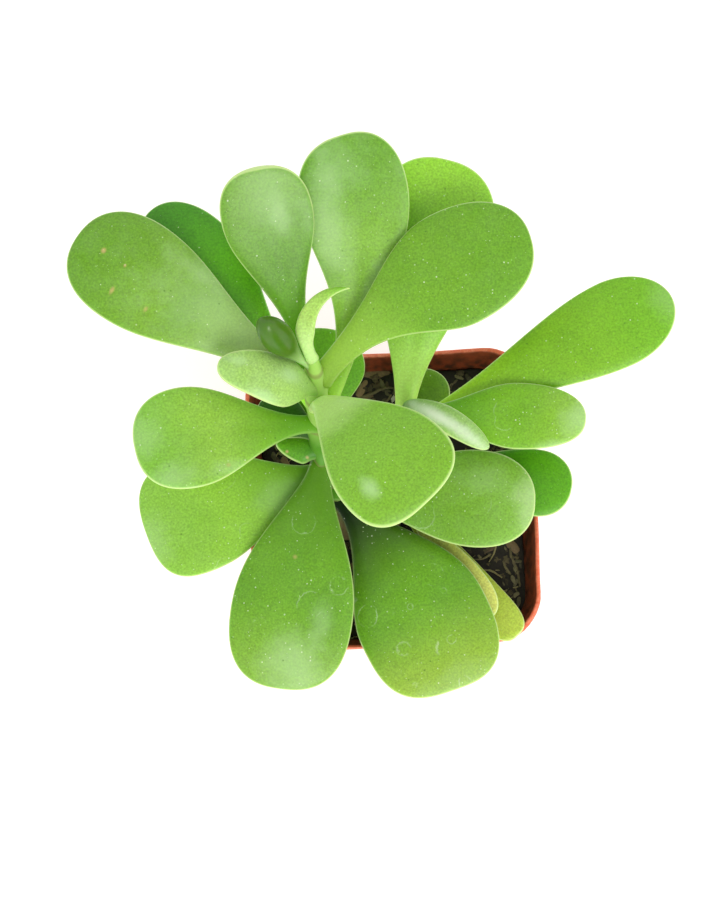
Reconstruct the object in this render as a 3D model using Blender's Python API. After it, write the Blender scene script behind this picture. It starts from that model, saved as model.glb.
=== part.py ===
"""A trailing jade succulent (Kleinia petraea) with two short stems, in a square plastic nursery pot.

The frame is the pot's own: the origin is the middle of its flat base, +Z is up, +Y is away from the
viewer of the photograph and +X is to the viewer's right. Sizes in the tables are millimetres.
"""
import math
from collections import namedtuple

import bmesh
import bpy
from mathutils import Vector, noise

MM = 0.001

# the pot: a square nursery pot of the common 7 cm size
POT_TOP_X = 69.5
POT_TOP_Y = 72.0
POT_BASE_X = 48.0
POT_BASE_Y = 50.0
POT_HEIGHT = 65.0
POT_TOP_CORNER = 12.0
POT_BASE_CORNER = 7.0
POT_SIDE_BOW = 0.8
RIM_BAND_HEIGHT = 7.0
RIM_BAND_STEP = 0.7
WALL = 1.0
FLOOR = 1.4
DRAIN_HOLE = 7.0
DRAIN_SPACING_X = 28.0
DRAIN_SPACING_Y = 30.0

# the soil fills the pot up to 7.5 mm below the rim
SOIL_TOP = 57.5
SOIL_LUMPS = 0.9

# touching pieces stand this far apart
GAP = 0.3

# the stems: centre line points and the radius at the foot and at the top
MAIN_STEM = [(-9, -12, 43), (-11, -6, 58), (-14, 1, 68), (-16, 7, 77), (-16.5, 14, 87), (-16.5, 21, 96), (-17, 25, 102)]
SIDE_STEM = [(-1, 0, 43), (0, 4, 58), (1, 8, 66), (2.5, 13, 75), (4, 17.5, 83)]
STEM_RADII = {"stem_main": (2.6, 2.1), "stem_side": (2.2, 1.8)}
STEM_LINES = {"stem_main": MAIN_STEM, "stem_side": SIDE_STEM}

# One row for each leaf. height is where it leaves its stem. heading is its direction seen from above, in
# degrees from +X towards +Y, and sweep is how far that turns by the tip. rise is the slope in degrees at
# the base and at the tip. The blade is narrowest at the petiole (a share of the width), widest at the
# share of its length named widest, and blunt says how round its tip is. cup lifts the two edges.
Leaf = namedtuple("Leaf", "name stem height heading sweep rise length width thick petiole widest flare blunt cup colour")
LEAVES = [
    Leaf("leaf_upper_left", "stem_main", 94.5, 148.2, -4, (24, 2), 62.8, 24.4, 3.4, 0.18, 0.76, 1.3, 2.4, -0.05, "6FA83A"),
    Leaf("leaf_behind_left", "stem_main", 90.5, 127.6, 0, (17, -2), 58.8, 20.5, 3.0, 0.18, 0.70, 1.5, 2.2, 0.00, "4F8A26"),
    Leaf("leaf_back_left", "stem_main", 98.9, 109.5, -11, (10, 45), 47.2, 20, 3.2, 0.16, 0.76, 1.5, 2.6, 0.10, "7DB548"),
    Leaf("leaf_back", "stem_main", 86.5, 59.5, 46, (27, 25), 66.5, 24.2, 3.2, 0.14, 0.78, 1.7, 2.5, 0.12, "79B144"),
    Leaf("leaf_upper_right", "stem_main", 96.4, 45, -32, (30, 5), 57.9, 26.2, 3.4, 0.2, 0.68, 1.6, 2.3, 0.00, "6BA338"),
    Leaf("leaf_shaded", "stem_main", 77.6, 91, 0, (15, 5), 30.6, 22, 3.0, 0.18, 0.68, 1.5, 2.2, 0.00, "3C6E20"),
    Leaf("leaf_left", "stem_main", 87, -173.2, 4, (30, 1), 42.9, 23, 3.2, 0.16, 0.72, 1.2, 2.4, 0.12, "6CA63A"),
    Leaf("leaf_lower_left", "stem_main", 74.5, -163.8, 2, (12, -12), 44.3, 27.8, 3.2, 0.14, 0.71, 0.94, 2.8, 0.12, "6FA83C"),
    Leaf("leaf_small_left", "stem_main", 80.2, 171, 0, (10, 0), 10.7, 7.4, 3.0, 0.5, 0.4, 1.5, 1.5, 0.00, "68A038"),
    Leaf("leaf_under_left", "stem_main", 83.8, 150, 0, (5, -5), 16, 10, 2.8, 0.3, 0.60, 1.2, 2.2, 0.00, "3C6E20"),
    Leaf("leaf_front", "stem_main", 78.2, -105.2, 5.5, (8, -10), 54, 27.8, 3.4, 0.15, 0.68, 0.88, 2.6, 0.05, "6AA23A"),
    Leaf("leaf_front_right", "stem_main", 68, -50, -24, (14, 0), 54.9, 30.8, 3.4, 0.13, 0.66, 1.1, 3.0, -0.04, "5F9A34"),
    Leaf("leaf_front_arching", "stem_main", 91.0, -55.5, 7, (88, -10), 51, 25.6, 3.2, 0.17, 0.80, 1.4, 2.8, -0.05, "7CB84A"),
    Leaf("leaf_young_left", "stem_main", 93.9, 176, -10, (75, -2), 28.5, 11.2, 2.8, 0.18, 0.42, 1.5, 2.3, -0.10, "86BC58"),
    Leaf("leaf_young_round", "stem_main", 98.9, 145.5, 0, (48, 60), 22, 7.0, 5.8, 0.16, 0.68, 1.5, 2.0, 0.00, "4A8028"),
    Leaf("leaf_young_pointed", "stem_main", 102.2, 128, -130, (54, -12), 22.6, 4.3, 2.6, 0.54, 0.36, 1.8, 1.3, 0.15, "78B63C"),
    Leaf("leaf_behind_right", "stem_side", 76.2, 82.8, -10, (35, 16), 63.6, 27.5, 3.2, 0.15, 0.75, 1.2, 2.4, 0.05, "6AA838"),
    Leaf("leaf_far_right", "stem_side", 73.8, 24.9, -4, (24, 4), 70.5, 20.6, 3.2, 0.25, 0.80, 1.4, 2.0, 0.00, "76B440"),
    Leaf("leaf_right", "stem_side", 81.2, -5.5, -2, (18, 2), 41.1, 15.5, 3.0, 0.22, 0.62, 1.3, 2.3, 0.00, "6CA83A"),
    Leaf("leaf_small_arching", "stem_side", 83.5, -35.5, -2, (90, -30), 29, 6, 3.0, 0.48, 0.60, 1.5, 2.0, 0.00, "9CC87A"),
    Leaf("leaf_low_right", "stem_side", 68, -15.5, 1, (14, 4), 42, 16, 3.0, 0.16, 0.80, 1.4, 2.2, 0.00, "5FA51E"),
    Leaf("leaf_lower_right", "stem_main", 71, -13.5, 7.5, (18, 2), 48.5, 22.8, 3.2, 0.30, 0.71, 1.2, 2.3, 0.00, "6AA43E"),
    Leaf("leaf_old_folded", "stem_side", 62.8, -67.5, 14, (14, 4), 42.6, 10.5, 2.6, 0.18, 0.78, 1.4, 2.5, 0.2, "A8BE5E"),
    Leaf("leaf_old_yellow", "stem_side", 60.2, -62, 14, (4, 11), 48.3, 10, 2.4, 0.23, 0.75, 0.8, 3.0, 0.10, "A9C04A"),
    Leaf("leaf_small_back", "stem_side", 67.5, 64, 0, (10, 0), 23, 12.5, 2.8, 0.18, 0.68, 1.5, 2.2, 0.00, "5A7A34"),
]

LEAF_RINGS = 14
LEAF_SIDES = 14
STEM_SIDES = 14
CORNER_POINTS = 6
SIDE_POINTS = 4


def clear_scene():
    for thing in list(bpy.data.objects):
        bpy.data.objects.remove(thing, do_unlink=True)


def linear(hex_colour):
    """A material takes linear light, and the table holds the colours as a picture shows them."""
    parts = [int(hex_colour[i:i + 2], 16) / 255 for i in (0, 2, 4)]
    return [p / 12.92 if p <= 0.04045 else ((p + 0.055) / 1.055) ** 2.4 for p in parts]


def make_material(name, hex_colour, roughness):
    material = bpy.data.materials.new(name)
    material.use_nodes = True
    shader = material.node_tree.nodes["Principled BSDF"]
    shader.inputs["Base Color"].default_value = (*linear(hex_colour), 1.0)
    shader.inputs["Roughness"].default_value = roughness
    shader.inputs["Metallic"].default_value = 0.0
    return material


def make_object(name, mesh_maker, hex_colour, roughness, sharp=50):
    mesh = bpy.data.meshes.new(name)
    bmesh.ops.recalc_face_normals(mesh_maker, faces=mesh_maker.faces)
    mesh_maker.to_mesh(mesh)
    mesh_maker.free()
    mesh.shade_smooth()
    mesh.set_sharp_from_angle(angle=math.radians(sharp))
    mesh.materials.append(make_material(name, hex_colour, roughness))
    made = bpy.data.objects.new(name, mesh)
    bpy.context.collection.objects.link(made)
    return made


def first_ring(bm, points):
    """Closed loop of edges through the points."""
    verts = [bm.verts.new(p) for p in points]
    edges = [bm.edges.new((verts[i], verts[(i + 1) % len(verts)])) for i in range(len(verts))]
    return verts, edges


def extrude_ring(bm, verts, edges, points):
    """Extrudes the loop and moves it onto the next points, in the same order."""
    where = {v: i for i, v in enumerate(verts)}
    pairs = [(where[e.verts[0]], where[e.verts[1]]) for e in edges]
    made = bmesh.ops.extrude_edge_only(bm, edges=edges)["geom"]
    new_edges = [g for g in made if isinstance(g, bmesh.types.BMEdge)]
    # each new vertex still lies on the old one that it came from
    old_at = {tuple(round(c, 9) for c in v.co): i for v, i in where.items()}
    new_verts = [None] * len(verts)
    for v in {v for e in new_edges for v in e.verts}:
        new_verts[old_at[tuple(round(c, 9) for c in v.co)]] = v
    for v, p in zip(new_verts, points):
        v.co = p
    loop = [bm.edges.get((new_verts[a], new_verts[b])) for a, b in pairs]
    return new_verts, loop


def close_ring(bm, verts):
    """A flat cap: a fan of triangles from a point in the middle, so that it stays convex."""
    middle = sum((v.co for v in verts), Vector()) / len(verts)
    centre = bm.verts.new(middle)
    for i, v in enumerate(verts):
        bm.faces.new((v, verts[(i + 1) % len(verts)], centre))


def loft(rings):
    bm = bmesh.new()
    verts, edges = first_ring(bm, rings[0])
    close_ring(bm, verts)
    for points in rings[1:]:
        verts, edges = extrude_ring(bm, verts, edges, points)
    close_ring(bm, verts)
    return bm


# stems

def smooth_line(points, steps=6):
    """A smooth curve that passes through each of the points."""
    ends = [2 * Vector(points[0]) - Vector(points[1]), 2 * Vector(points[-1]) - Vector(points[-2])]
    p = [ends[0]] + [Vector(q) for q in points] + [ends[1]]
    line = []
    for i in range(1, len(p) - 2):
        for k in range(steps):
            t = k / steps
            line.append(0.5 * (2 * p[i] + (p[i + 1] - p[i - 1]) * t
                               + (2 * p[i - 1] - 5 * p[i] + 4 * p[i + 1] - p[i + 2]) * t * t
                               + (3 * p[i] - p[i - 1] - 3 * p[i + 1] + p[i + 2]) * t ** 3))
    line.append(p[-2])
    return line


def point_at_height(line, height):
    for a, b in zip(line, line[1:]):
        if a.z <= height <= b.z:
            return a.lerp(b, (height - a.z) / (b.z - a.z))
    return line[-1]


def stem_rings(name, grow=0.0):
    line = smooth_line(STEM_LINES[name], 3)
    foot, top = STEM_RADII[name]
    if grow:
        line[0] = line[0] + (line[0] - line[1]).normalized() * grow
        line[-1] = line[-1] + (line[-1] - line[-2]).normalized() * grow
    rings = []
    for i, point in enumerate(line):
        along = (line[min(i + 1, len(line) - 1)] - line[max(i - 1, 0)]).normalized()
        side = Vector((0, 1, 0.2)).cross(along).normalized()
        front = along.cross(side)
        radius = foot + (top - foot) * i / (len(line) - 1) + grow
        # the growing tip is a little dome
        if i == len(line) - 1:
            radius *= 0.7
        turn = 2 * math.pi / STEM_SIDES
        rings.append([(point + radius * (math.cos(k * turn) * side + math.sin(k * turn) * front)) * MM
                      for k in range(STEM_SIDES)])
    return rings


def make_stem(name, hex_colour):
    return make_object(name, loft(stem_rings(name)), hex_colour, 0.7)


def make_stem_cutter(name):
    """The stem with the clearance all round it. It cuts the leaves' feet and the holes in the soil."""
    cutter = make_object(name + "_cutter", loft(stem_rings(name, GAP)), "808080", 0.5)
    cutter.hide_render = True
    cutter.display_type = "WIRE"
    return cutter


def cut(target, cutter):
    modifier = target.modifiers.new("cut by " + cutter.name, "BOOLEAN")
    modifier.operation = "DIFFERENCE"
    modifier.object = cutter


# leaves

def half_width(leaf, t):
    """Half width at the share t of the length: a spoon that narrows to the petiole and ends round."""
    if t < leaf.widest:
        wave = 0.5 - 0.5 * math.cos(math.pi * (t / leaf.widest) ** leaf.flare)
        share = leaf.petiole + (1 - leaf.petiole) * wave
    else:
        share = max(0.0, 1 - ((t - leaf.widest) / (1 - leaf.widest)) ** leaf.blunt) ** (1 / leaf.blunt)
    return leaf.width / 2 * share


def half_thickness(leaf, t):
    """Fleshy all along, a little thinner in the petiole, and rounded off at the tip."""
    body = 0.75 + 0.25 * min(t / leaf.widest, 1)
    if t > leaf.widest:
        body *= math.sqrt(half_width(leaf, t) / (leaf.width / 2))
        return leaf.thick / 2 * body
    return min(leaf.thick / 2 * body, 0.9 * half_width(leaf, t))


def leaf_direction(leaf, t):
    turn = math.radians(leaf.sweep * t)
    slope = math.radians(leaf.rise[0] + (leaf.rise[1] - leaf.rise[0]) * t)
    along = Vector((math.cos(slope) * math.cos(turn), math.cos(slope) * math.sin(turn), math.sin(slope)))
    side = Vector((-math.sin(turn), math.cos(turn), 0))
    return along, side


def leaf_centre_line(leaf, steps=60):
    points = [Vector((0, 0, 0))]
    for k in range(steps):
        along = leaf_direction(leaf, (k + 0.5) / steps)[0]
        points.append(points[-1] + along * (leaf.length / steps))
    return points


def leaf_stations(leaf):
    """Shares of the length for the rings, closer together round the tip."""
    low = LEAF_RINGS // 2
    high = LEAF_RINGS - low
    stations = [leaf.widest * k / low for k in range(low)]
    stations += [leaf.widest + (1 - leaf.widest) * math.sin(math.pi / 2 * k / high) for k in range(high)]
    return stations


def leaf_ring(leaf, centre, t):
    """The section is an ellipse, lifted at both edges by the cup."""
    along, side = leaf_direction(leaf, t)
    up = along.cross(side)
    wide = half_width(leaf, t)
    thick = half_thickness(leaf, t)
    points = []
    for k in range(LEAF_SIDES):
        turn = 2 * math.pi * k / LEAF_SIDES
        x = wide * math.cos(turn)
        z = thick * math.sin(turn) + leaf.cup * leaf.width / 2 * (2 * x / leaf.width) ** 2
        points.append((centre + side * x + up * z) * MM)
    return points


def make_leaf(leaf, cutters):
    line = leaf_centre_line(leaf)
    rings = []
    for t in leaf_stations(leaf):
        place = t * (len(line) - 1)
        i = min(int(place), len(line) - 2)
        rings.append(leaf_ring(leaf, line[i].lerp(line[i + 1], place - i), t))
    bm = bmesh.new()
    verts, edges = first_ring(bm, rings[0])
    close_ring(bm, verts)
    for points in rings[1:]:
        verts, edges = extrude_ring(bm, verts, edges, points)
    # the last, small ring closes onto the tip
    tip = bm.verts.new(line[-1] * MM)
    for i, v in enumerate(verts):
        bm.faces.new((v, verts[(i + 1) % len(verts)], tip))
    made = make_object(leaf.name, bm, leaf.colour, 0.5)
    made.location = point_at_height(smooth_line(STEM_LINES[leaf.stem]), leaf.height) * MM
    made.rotation_euler = (0, 0, math.radians(leaf.heading))
    cut(made, cutters[leaf.stem])
    return made


# pot and soil

def rounded_square(half_x, half_y, corner, height, bow=0.0):
    """Outline of the pot at a height. Each side bows inwards a little in its middle."""
    points = []
    quarter = [(1, 1), (-1, 1), (-1, -1), (1, -1)]
    for q, (sx, sy) in enumerate(quarter):
        centre = Vector(((half_x - corner) * sx, (half_y - corner) * sy, height))
        for k in range(CORNER_POINTS):
            turn = math.pi / 2 * (q + k / (CORNER_POINTS - 1))
            points.append(centre + corner * Vector((math.cos(turn), math.sin(turn), 0)))
        # the straight side that follows this corner
        nx, ny = quarter[(q + 1) % 4]
        after = Vector(((half_x - corner) * nx, (half_y - corner) * ny, height))
        turn = math.pi / 2 * (q + 1)
        outward = Vector((math.cos(turn), math.sin(turn), 0))
        start, end = centre + corner * outward, after + corner * outward
        for k in range(1, SIDE_POINTS):
            t = k / SIDE_POINTS
            points.append(start.lerp(end, t) - outward * bow * math.sin(math.pi * t))
    return points


def pot_outline(height, inset=0.0):
    """The tapered wall's outline at a height, moved inwards by inset."""
    t = height / POT_HEIGHT
    half_x = (POT_BASE_X + (POT_TOP_X - 2 * RIM_BAND_STEP - POT_BASE_X) * t) / 2 - inset
    half_y = (POT_BASE_Y + (POT_TOP_Y - 2 * RIM_BAND_STEP - POT_BASE_Y) * t) / 2 - inset
    corner = POT_BASE_CORNER + (POT_TOP_CORNER - RIM_BAND_STEP - POT_BASE_CORNER) * t - inset
    return rounded_square(half_x, half_y, corner, height, POT_SIDE_BOW * t)


def make_pot():
    band_foot = POT_HEIGHT - RIM_BAND_HEIGHT
    rings = [
        pot_outline(0.0, 0.8),
        [p + Vector((0, 0, 0.8)) for p in pot_outline(0.0)],
        pot_outline(20.0),
        pot_outline(40.0),
        pot_outline(band_foot),
        [p + Vector((0, 0, 0.6)) for p in pot_outline(band_foot, -RIM_BAND_STEP)],
        [p - Vector((0, 0, 0.4)) for p in pot_outline(POT_HEIGHT, -RIM_BAND_STEP)],
        pot_outline(POT_HEIGHT, 0.4 - RIM_BAND_STEP),
        pot_outline(POT_HEIGHT, WALL - 0.1 - RIM_BAND_STEP),
        [p - Vector((0, 0, 0.4)) for p in pot_outline(POT_HEIGHT, WALL + 0.2 - RIM_BAND_STEP)],
        pot_outline(band_foot, WALL),
        pot_outline(40.0, WALL),
        pot_outline(20.0, WALL),
        pot_outline(FLOOR + 1.2, WALL),
        pot_outline(FLOOR, WALL + 1.2),
    ]
    pot = make_object("pot", loft([[p * MM for p in ring] for ring in rings]), "E0592C", 0.45, 35)
    for sx in (-1, 1):
        for sy in (-1, 1):
            bm = bmesh.new()
            bmesh.ops.create_cone(bm, cap_ends=True, segments=20, radius1=DRAIN_HOLE / 2 * MM,
                                  radius2=DRAIN_HOLE / 2 * MM, depth=3 * FLOOR * MM)
            drill = make_object(f"drain_{sx}_{sy}", bm, "808080", 0.5)
            drill.location = (sx * DRAIN_SPACING_X / 2 * MM, sy * DRAIN_SPACING_Y / 2 * MM, FLOOR / 2 * MM)
            drill.hide_render = True
            drill.display_type = "WIRE"
            cut(pot, drill)
    return pot


def soil_lump(x, y):
    """Height of the loose surface above its mean, in millimetres."""
    coarse = noise.noise(Vector((x * 0.09, y * 0.09, 3.7)))
    fine = noise.noise(Vector((x * 0.31, y * 0.31, 8.1)))
    return SOIL_LUMPS * (1.3 * coarse + 0.7 * fine)


def make_soil(cutters):
    inset = WALL + GAP
    rings = [pot_outline(FLOOR + GAP, inset + 1.4), pot_outline(FLOOR + GAP + 1.4, inset),
             pot_outline(20.0, inset), pot_outline(40.0, inset)]
    for share in (1.0, 0.88, 0.74, 0.6, 0.46, 0.32, 0.18, 0.07):
        ring = []
        for p in pot_outline(SOIL_TOP, inset + GAP):
            x, y = p.x * share, p.y * share
            sunk = 0.8 if share == 1.0 else 0.0
            ring.append(Vector((x, y, SOIL_TOP + soil_lump(x, y) - sunk)))
        rings.append(ring)
    soil = make_object("soil", loft([[p * MM for p in ring] for ring in rings]), "2A2218", 0.95, 80)
    for cutter in cutters.values():
        cut(soil, cutter)
    return soil


def main():
    clear_scene()
    cutters = {name: make_stem_cutter(name) for name in STEM_LINES}
    make_pot()
    make_soil(cutters)
    make_stem("stem_main", "8A8F50")
    make_stem("stem_side", "86924E")
    for leaf in LEAVES:
        make_leaf(leaf, cutters)


main()
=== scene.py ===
"""A trailing jade in its nursery pot: the looks of each leaf, both stems, the potting mix and the pot.

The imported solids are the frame. Each piece here is modelled finer over the solid that it stands for, and
stays where that solid is. Sizes in the tables are millimetres, and the scene is in metres.
"""

import math
import random
from collections import namedtuple
from functools import partial

import bpy
import numpy as np
from mathutils import Matrix, Vector, noise


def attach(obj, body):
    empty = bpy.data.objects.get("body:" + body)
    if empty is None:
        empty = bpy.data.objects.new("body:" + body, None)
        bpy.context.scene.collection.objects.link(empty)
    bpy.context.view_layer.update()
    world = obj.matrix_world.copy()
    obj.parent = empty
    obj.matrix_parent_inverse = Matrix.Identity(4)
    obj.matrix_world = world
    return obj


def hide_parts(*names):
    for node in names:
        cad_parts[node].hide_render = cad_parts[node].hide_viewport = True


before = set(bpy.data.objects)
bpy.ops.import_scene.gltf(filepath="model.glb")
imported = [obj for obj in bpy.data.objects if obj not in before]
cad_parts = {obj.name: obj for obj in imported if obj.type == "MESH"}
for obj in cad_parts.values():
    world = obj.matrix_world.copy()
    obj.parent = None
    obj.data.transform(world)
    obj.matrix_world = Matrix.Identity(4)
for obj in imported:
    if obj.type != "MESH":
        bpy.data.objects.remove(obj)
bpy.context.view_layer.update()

MM = 0.001

# the viewpoint: millimetres from the middle of the pot's base, degrees from straight down and degrees turned
# to the right, and the lens in millimetres
CAMERA_PLACE = (-10.7, -61.4, 441.9)
CAMERA_TILT = 11.0
CAMERA_TURN = 2.6
CAMERA_LENS = 64.0

# the pot, as its solid is, but its sides bow in less, and wander, and one corner is pressed in: by how much,
# and at which angle and over how wide an angle, in degrees
POT_TOP = (69.5, 72.0)
POT_BASE = (48.0, 50.0)
POT_HEIGHT = 65.0
POT_CORNER = 11.3
RIM_BAND_HEIGHT = 7.0
RIM_BAND_STEP = 0.7
WALL = 1.0
FLOOR = 1.4
DRAIN_HOLE = 7.0
DRAIN_SPACING = (28.0, 30.0)
SIDE_CUTS = 17
SIDE_BOW = 0.5
BOW_REACH = 28
SIDE_WANDER = 0.6
PRESSED_IN = 1.3
PRESSED_AT = -42
PRESSED_SPREAD = 15
RIM_DIP = 0.35

# the soil: its mean height, the height of its lumps, the cells along one side of its grid, how far it keeps
# from the wall, and how far its loose bits reach, lean in degrees, and keep from the wall and from a stem
SOIL_TOP = 57.5
SOIL_LUMPS = 0.9
SOIL_CELLS = 96
SOIL_GAP = 0.35
BITS_REACH = (31, 32)
BITS_LEAN = 14
WALL_GAP = 1.4
STEM_GAP = 3.5

# the stems: centre line points, and the radius at the foot and at the top
MAIN = "stem_main"
SIDE = "stem_side"
STEM_LINES = {
    MAIN: [(-9, -12, 43), (-11, -6, 58), (-14, 1, 68), (-16, 7, 77), (-16.5, 14, 87), (-16.5, 21, 96),
           (-17, 25, 102)],
    SIDE: [(-1, 0, 43), (0, 4, 58), (1, 8, 66), (2.5, 13, 75), (4, 17.5, 83)],
}
STEM_RADII = {MAIN: (2.6, 2.1), SIDE: (2.2, 1.8)}

# One row for each leaf, with the solid's own numbers. height is where it leaves its stem. heading is its
# direction seen from above, in degrees from +X towards +Y, and sweep is how far that turns by the tip.
# rise is the slope in degrees at the base and at the tip. The blade is narrowest at the petiole (a share of
# the width) and widest at the share of its length named widest. flare says how late it opens on the way
# there, and blunt how round its tip is. cup lifts the two edges.
Leaf = namedtuple(
    "Leaf", "name stem height heading sweep rise length width thick petiole widest flare blunt cup")
LEAVES = [
    Leaf("leaf_upper_left", MAIN, 94.5, 148.2, -4, (24, 2), 62.8, 24.4, 3.4, 0.18, 0.76, 1.3, 2.4, -0.05),
    Leaf("leaf_behind_left", MAIN, 90.5, 127.6, 0, (17, -2), 58.8, 20.5, 3, 0.18, 0.7, 1.5, 2.2, 0),
    Leaf("leaf_back_left", MAIN, 98.9, 109.5, -11, (10, 45), 47.2, 20, 3.2, 0.16, 0.76, 1.5, 2.6, 0.1),
    Leaf("leaf_back", MAIN, 86.5, 59.5, 46, (27, 25), 66.5, 24.2, 3.2, 0.14, 0.78, 1.7, 2.5, 0.12),
    Leaf("leaf_upper_right", MAIN, 96.4, 45, -32, (30, 5), 57.9, 26.2, 3.4, 0.2, 0.68, 1.6, 2.3, 0),
    Leaf("leaf_shaded", MAIN, 77.6, 91, 0, (15, 5), 30.6, 22, 3, 0.18, 0.68, 1.5, 2.2, 0),
    Leaf("leaf_left", MAIN, 87, -173.2, 4, (30, 1), 42.9, 23, 3.2, 0.16, 0.72, 1.2, 2.4, 0.12),
    Leaf("leaf_lower_left", MAIN, 74.5, -163.8, 2, (12, -12), 44.3, 27.8, 3.2, 0.14, 0.71, 0.94, 2.8, 0.12),
    Leaf("leaf_small_left", MAIN, 80.2, 171, 0, (10, 0), 10.7, 7.4, 3, 0.5, 0.4, 1.5, 1.5, 0),
    Leaf("leaf_under_left", MAIN, 83.8, 150, 0, (5, -5), 16, 10, 2.8, 0.3, 0.6, 1.2, 2.2, 0),
    Leaf("leaf_front", MAIN, 78.2, -105.2, 5.5, (8, -10), 54, 27.8, 3.4, 0.15, 0.68, 0.88, 2.6, 0.05),
    Leaf("leaf_front_right", MAIN, 68, -50, -24, (14, 0), 54.9, 30.8, 3.4, 0.13, 0.66, 1.1, 3, -0.04),
    Leaf("leaf_front_arching", MAIN, 91, -55.5, 7, (88, -10), 51, 25.6, 3.2, 0.17, 0.8, 1.4, 2.8, -0.05),
    Leaf("leaf_young_left", MAIN, 93.9, 176, -10, (75, -2), 28.5, 11.2, 2.8, 0.18, 0.42, 1.5, 2.3, -0.1),
    Leaf("leaf_young_round", MAIN, 98.9, 145.5, 0, (48, 60), 22, 7, 5.8, 0.16, 0.68, 1.5, 2, 0),
    Leaf("leaf_young_pointed", MAIN, 102.2, 128, -130, (54, -12), 22.6, 4.3, 2.6, 0.54, 0.36, 1.8, 1.3, 0.15),
    Leaf("leaf_behind_right", SIDE, 76.2, 82.8, -10, (35, 16), 63.6, 27.5, 3.2, 0.15, 0.75, 1.2, 2.4, 0.05),
    Leaf("leaf_far_right", SIDE, 73.8, 24.9, -4, (24, 4), 70.5, 20.6, 3.2, 0.25, 0.8, 1.4, 2, 0),
    Leaf("leaf_right", SIDE, 81.2, -5.5, -2, (18, 2), 41.1, 15.5, 3, 0.22, 0.62, 1.3, 2.3, 0),
    Leaf("leaf_small_arching", SIDE, 83.5, -35.5, -2, (90, -30), 29, 6, 3, 0.48, 0.6, 1.5, 2, 0),
    Leaf("leaf_low_right", SIDE, 68, -15.5, 1, (14, 4), 42, 16, 3, 0.16, 0.8, 1.4, 2.2, 0),
    Leaf("leaf_lower_right", MAIN, 71, -13.5, 7.5, (18, 2), 48.5, 22.8, 3.2, 0.3, 0.71, 1.2, 2.3, 0),
    Leaf("leaf_old_folded", SIDE, 62.8, -67.5, 14, (14, 4), 42.6, 10.5, 2.6, 0.18, 0.78, 1.4, 2.5, 0.2),
    Leaf("leaf_old_yellow", SIDE, 60.2, -62, 14, (4, 11), 48.3, 10, 2.4, 0.23, 0.75, 0.8, 3, 0.1),
    Leaf("leaf_small_back", SIDE, 67.5, 64, 0, (10, 0), 23, 12.5, 2.8, 0.18, 0.68, 1.5, 2.2, 0),
]

# How each leaf's skin looks: its green, the greens of its foot and its tip, which are mostly painted light
# and shade (deep where the plant shades a foot, pale where light comes through or falls on it), how much wax
# bloom, dust and dried water marks it carries (0 to 1), how wide its pale edge is (partly painted light), and
# the depth of the groove along its middle and of the waves in its edge, in millimetres.
Skin = namedtuple("Skin", "green foot tip bloom dust marks rim groove wave")
SKINS = {
    "leaf_upper_left": Skin("6A9823", "9BB861", "5E9019", 0.3, 0.5, 0, 0.4, 0, 0.2),
    "leaf_behind_left": Skin("56A010", "A4F03A", "3F8410", 0.05, 0.15, 0, 0.4, 0.1, 0.2),
    "leaf_back_left": Skin("588A1A", "62A800", "659329", 0.15, 0.4, 0, 0.4, 0.3, 0.2),
    "leaf_back": Skin("72A22C", "9CD040", "5E921B", 0.35, 0.45, 0, 0.4, 0.5, 0.2),
    "leaf_upper_right": Skin("65981D", "8FB93F", "62961D", 0.15, 0.65, 0, 0.4, 0.1, 0.2),
    "leaf_shaded": Skin("64A41A", "3C7A0C", "6FAE20", 0.05, 0.1, 0, 0.3, 0.2, 0.1),
    "leaf_left": Skin("80AE36", "5C980E", "74AA34", 0.25, 0.45, 0, 0.5, 0.2, 0.2),
    "leaf_lower_left": Skin("84B636", "5E9418", "80B23A", 0.2, 0.55, 0.25, 0.4, 0.1, 0.3),
    "leaf_small_left": Skin("569410", "3C7A10", "5A9A14", 0.05, 0.1, 0, 0.5, 0, 0),
    "leaf_under_left": Skin("2F6010", "2A540E", "2F6010", 0, 0.1, 0, 0.3, 0, 0),
    "leaf_front": Skin("5F941A", "50810F", "74A02E", 0.15, 0.8, 0.3, 0.4, 0.1, 0.3),
    "leaf_front_right": Skin("60961A", "0A2402", "86A832", 0.15, 0.8, 0.45, 0.4, 0.1, 0.3),
    "leaf_front_arching": Skin("78AC30", "D0F090", "6E9F22", 0.1, 0.45, 0, 0.8, 0, 0.1),
    "leaf_young_left": Skin("8EB458", "94BE58", "90B858", 0.7, 0.25, 0, 0.6, 0, 1.1),
    "leaf_young_round": Skin("3C6C0E", "8CBA58", "3D6414", 0, 0, 0, 0.3, 0, 0),
    "leaf_young_pointed": Skin("A0C45C", "B4D884", "70A824", 0.1, 0.1, 0, 0.3, 0.3, 0),
    "leaf_behind_right": Skin("6EAC20", "B0DA62", "8CC432", 0.15, 0.35, 0, 0.4, 0.2, 0.2),
    "leaf_far_right": Skin("71A51C", "A4D630", "6CA61C", 0.05, 0.45, 0, 0.4, 0.1, 0.2),
    "leaf_right": Skin("6EA51C", "5A9A16", "80AE30", 0.2, 0.7, 0.35, 0.4, 0.1, 0.2),
    "leaf_small_arching": Skin("8CB45C", "6A9C44", "8CB45C", 0.5, 0.25, 0, 0.4, 0, 0.1),
    "leaf_low_right": Skin("468C06", "4A8E08", "569A0E", 0.02, 0.15, 0, 0.4, 0.1, 0.2),
    "leaf_lower_right": Skin("689826", "508E14", "76A634", 0.25, 0.9, 0.25, 0.5, 0.1, 0.2),
    "leaf_old_folded": Skin("B4BE56", "9AAC48", "C0C460", 0.1, 0.3, 0, 0.5, 0.6, 0.4),
    "leaf_old_yellow": Skin("98AC2E", "8AA424", "A9BD44", 0.05, 0.2, 0, 0.3, 0.3, 0.4),
    "leaf_small_back": Skin("5A8214", "4E7410", "608A1A", 0.05, 0.2, 0, 0.4, 0.1, 0.1),
}
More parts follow.
